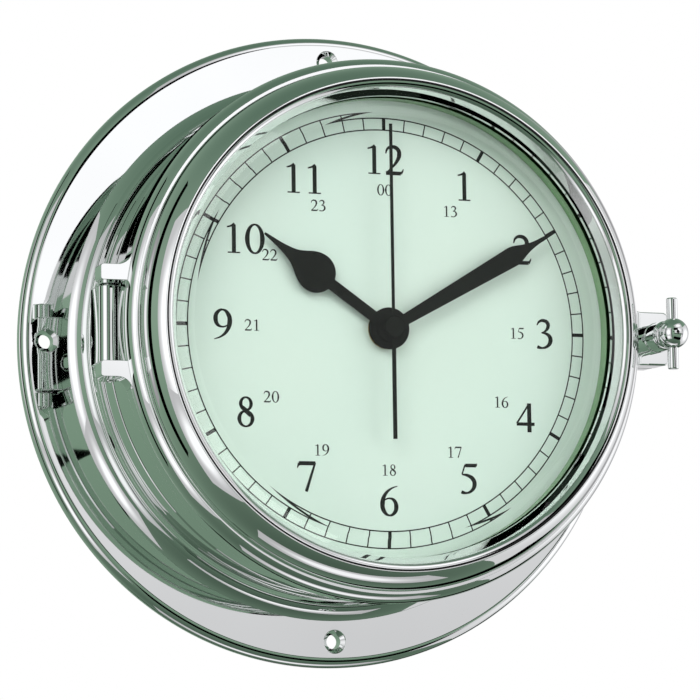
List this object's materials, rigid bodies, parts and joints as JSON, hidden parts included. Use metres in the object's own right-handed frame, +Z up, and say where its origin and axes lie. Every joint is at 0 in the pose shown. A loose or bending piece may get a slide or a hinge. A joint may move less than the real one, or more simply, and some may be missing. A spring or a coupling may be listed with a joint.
{
  "type": "ship's bulkhead clock",
  "caption": "Round wall-mounted ship's clock with a flanged turned case, a hinged glazed bezel shut by a thumb screw, and three hands driven by an inner wheel train.",
  "frame": {"origin": "centre of the dial axis on the wall plane, which is the flange's flat back and the plane of the wall-screw circle", "axes": "+Z up (towards twelve), +X to the right as the dial is read, -Y out of the wall towards the reader, +Y into the wall"},
  "size_m": [0.2, 0.0716, 0.2],
  "materials": {
    "chromed_brass": "mirror-polished chrome plate",
    "reflector_chrome": "polished chrome",
    "black_rubber": "matt",
    "dial_enamel": "satin pale mint",
    "steel": "plain",
    "black_plastic": "fine satin",
    "white_plastic": "moulded",
    "rotor_plastic": "moulded with magnet",
    "brass": "turned",
    "battery_sleeve": "gloss sleeve",
    "board_green": "solder mask",
    "copper_wire": "enamelled wire",
    "hand_black": "matt black",
    "clear_glass": "bevelled rim"
  },
  "bodies": {
    "case": {"case_flange": "chromed_brass", "case_barrel": "chromed_brass", "dial_seat": "chromed_brass", "hinge_knuckle": "chromed_brass", "hinge_pin": "chromed_brass", "catch_lug": "chromed_brass", "bezel_seal": "black_rubber", "dial_plate": "dial_enamel", "dial_screws": "steel", "movement_front": "black_plastic", "movement_cover": "black_plastic", "centre_bush": "brass", "rubber_washer": "black_rubber", "brass_washer": "brass", "fixing_nut": "brass", "battery": "battery_sleeve", "battery_contacts": "steel", "circuit_board": "board_green", "board_parts": "black_plastic", "coil_bobbin": "white_plastic", "coil_winding": "copper_wire", "stator": "steel"},
    "bezel": {"bezel": "chromed_brass", "glass": "clear_glass", "glass_gasket": "black_rubber", "glass_retainer": "reflector_chrome", "retainer_screws": "steel"},
    "clip": {"captive_clip": "steel"},
    "screw": {"thumb_screw": "chromed_brass", "tommy_bar": "chromed_brass"},
    "minute": {"minute_arbor": "brass", "minute_hand": "hand_black"},
    "hour": {"hour_wheel": "white_plastic", "hour_hand": "hand_black"},
    "motion": {"motion_wheel": "white_plastic"},
    "knob": {"setting_knob": "black_plastic"},
    "second": {"second_wheel": "white_plastic", "second_hand": "hand_black", "second_cap": "hand_black"},
    "first": {"first_wheel": "white_plastic"},
    "rotor": {"rotor": "rotor_plastic"},
    "third": {"third_wheel": "white_plastic"},
    "centre": {"centre_wheel": "white_plastic"}
  },
  "joints": [
    {"name": "bezel_hinge", "type": "hinge", "parent": "case", "child": "bezel", "pos_m": [-0.0832, -0.0456, 0], "axis": [0, 0, -1], "range_deg": [0, 120]},
    {"name": "clip_slide", "type": "slide", "parent": "bezel", "child": "clip", "axis": [0, -1, 0], "range_m": [0, 0.0048]},
    {"name": "screw_spin", "type": "hinge", "parent": "clip", "child": "screw", "pos_m": [0.0894, -0.05, 0], "axis": [0, -1, 0], "range_deg": [0, 2160]},
    {"name": "minute_spin", "type": "hinge", "parent": "case", "child": "minute", "pos_m": [0, -0.05, 0], "axis": [0, 1, 0], "continuous": true},
    {"name": "hour_spin", "type": "hinge", "parent": "case", "child": "hour", "pos_m": [0, -0.05, 0], "axis": [0, 1, 0], "continuous": true},
    {"name": "motion_spin", "type": "hinge", "parent": "case", "child": "motion", "pos_m": [0.00679, -0.047, 0.00679], "axis": [0, 1, 0], "continuous": true},
    {"name": "knob_spin", "type": "hinge", "parent": "case", "child": "knob", "pos_m": [0.01527, -0.04, 0.01527], "axis": [0, 1, 0], "continuous": true},
    {"name": "second_spin", "type": "hinge", "parent": "case", "child": "second", "pos_m": [0, -0.045, 0], "axis": [0, 1, 0], "continuous": true},
    {"name": "first_spin", "type": "hinge", "parent": "case", "child": "first", "pos_m": [0.01031, -0.04, -0.002], "axis": [0, 1, 0], "continuous": true},
    {"name": "rotor_spin", "type": "hinge", "parent": "case", "child": "rotor", "pos_m": [0.01711, -0.04, -0.00435], "axis": [0, 1, 0], "continuous": true},
    {"name": "third_spin", "type": "hinge", "parent": "case", "child": "third", "pos_m": [-0.00946, -0.044, 0.00382], "axis": [0, 1, 0], "continuous": true},
    {"name": "centre_spin", "type": "hinge", "parent": "case", "child": "centre", "pos_m": [0, -0.045, 0], "axis": [0, 1, 0], "continuous": true}
  ],
  "couplings": [
    {"joint": "clip_slide", "follows": "screw_spin", "m_per_rad": 0.00012732},
    {"joint": "hour_spin", "follows": "minute_spin", "ratio": 0.083333},
    {"joint": "motion_spin", "follows": "minute_spin", "ratio": -0.33333},
    {"joint": "knob_spin", "follows": "minute_spin", "ratio": 0.5},
    {"joint": "first_spin", "follows": "second_spin", "ratio": -6},
    {"joint": "rotor_spin", "follows": "second_spin", "ratio": 30},
    {"joint": "third_spin", "follows": "second_spin", "ratio": -0.13333},
    {"joint": "centre_spin", "follows": "second_spin", "ratio": 0.016667}
  ]
}
